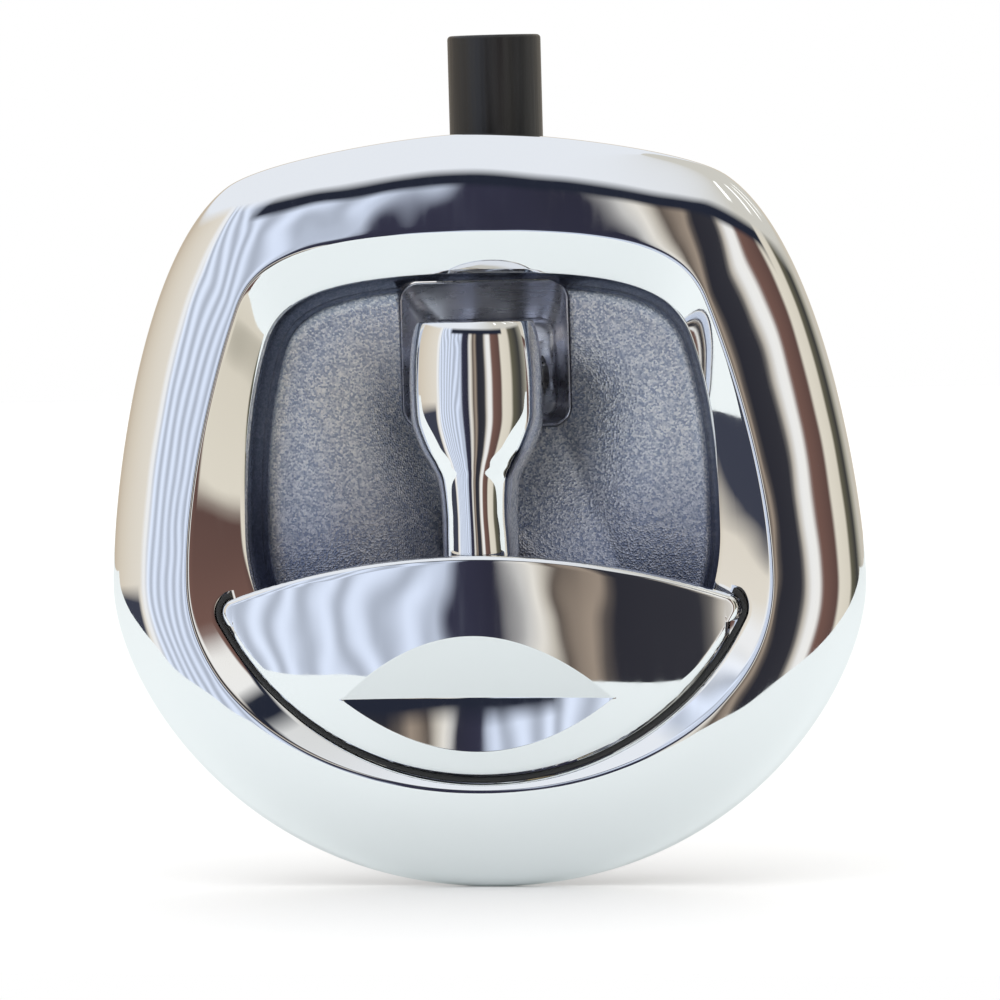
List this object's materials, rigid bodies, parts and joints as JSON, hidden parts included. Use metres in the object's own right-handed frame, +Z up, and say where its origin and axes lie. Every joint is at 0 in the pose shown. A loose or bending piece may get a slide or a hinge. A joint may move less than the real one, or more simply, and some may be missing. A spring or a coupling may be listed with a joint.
{
  "type": "flush lift lever latch",
  "caption": "Flush-mounted locking lift latch for a hatch: domed shield bezel, recessed pan, lever with a crescent finger grip, and a round slide bolt that leaves behind the top edge.",
  "frame": {"origin": "on the symmetry plane, at mid height of the bezel, in the plane of the panel face that the flange gasket seals on", "axes": "+X to the right and -Y out of the face towards the user, +Z up, along the latch bolt's travel out of the latch"},
  "size_m": [0.1808, 0.0534, 0.199],
  "materials": {
    "chrome": "mirror-polished chrome on zinc",
    "grained_chrome": "fine grained, dark silver",
    "polished_zinc": "polished",
    "black_plastic": "satin",
    "rubber": "matte",
    "plated_steel": "zinc plated",
    "stainless": "satin",
    "spring_steel": "drawn wire",
    "brass": "satin"
  },
  "bodies": {
    "housing": {"outer_bezel": "chrome", "flange_gasket": "rubber", "recess_pan": "grained_chrome", "pivot_cup": "polished_zinc", "grip_seat_seal": "rubber", "rest_pad_left": "rubber", "rest_pad_right": "rubber", "pan_screw_1": "stainless", "pan_screw_2": "stainless", "pan_screw_3": "stainless", "pan_screw_4": "stainless", "mounting_stud_1": "stainless", "clamp_dog_1": "stainless", "stud_nut_1": "stainless", "mounting_stud_2": "stainless", "clamp_dog_2": "stainless", "stud_nut_2": "stainless", "mounting_stud_3": "stainless", "clamp_dog_3": "stainless", "stud_nut_3": "stainless", "mounting_stud_4": "stainless", "clamp_dog_4": "stainless", "stud_nut_4": "stainless", "rear_bracket": "plated_steel", "bracket_screw_1": "stainless", "bracket_screw_2": "stainless", "bracket_screw_3": "stainless", "bracket_screw_4": "stainless", "bolt_guide": "black_plastic", "guide_screw_1": "stainless", "guide_screw_2": "stainless", "handle_spring": "spring_steel", "return_spring_left": "spring_steel", "return_spring_right": "spring_steel", "spring_rod_left": "stainless", "spring_rod_right": "stainless", "lock_barrel": "plated_steel", "lock_nut": "plated_steel"},
    "handle": {"lever": "chrome", "crescent_grip": "chrome", "grip_screw_1": "stainless", "grip_screw_2": "stainless", "pivot_pin": "stainless", "pivot_clip_left": "spring_steel", "pivot_clip_right": "spring_steel", "drive_arm": "stainless"},
    "bolt": {"bolt_carrier": "plated_steel", "latch_bolt": "black_plastic", "bolt_screw": "stainless", "shoulder_screw_1": "stainless", "shoulder_screw_2": "stainless"},
    "clutch": {"clutch_slide": "brass"},
    "lock_rotor": {"lock_plug": "brass", "lock_cam": "plated_steel"}
  },
  "joints": [
    {"name": "handle_lift", "type": "hinge", "parent": "housing", "child": "handle", "pos_m": [0, 0.005, 0.031], "axis": [-1, 0, 0], "range_deg": [0, 30], "stiffness_Nm_per_rad": 0.5, "springref_deg": -28.65},
    {"name": "bolt_slide", "type": "slide", "parent": "housing", "child": "bolt", "axis": [0, 0, -1], "range_m": [0, 0.0096], "deforming": ["return_spring_left", "return_spring_right"]},
    {"name": "lock_turn", "type": "hinge", "parent": "housing", "child": "lock_rotor", "pos_m": [0, 0.005, -0.027], "axis": [0, 1, 0], "range_deg": [0, 90]},
    {"name": "clutch_shift", "type": "slide", "parent": "bolt", "child": "clutch", "axis": [1, 0, 0], "range_m": [0, 0.00566]}
  ],
  "couplings": [
    {"joint": "bolt_slide", "follows": "handle_lift", "m_per_rad": 0.01833},
    {"joint": "clutch_shift", "follows": "lock_turn", "m_per_rad": 0.003602}
  ]
}
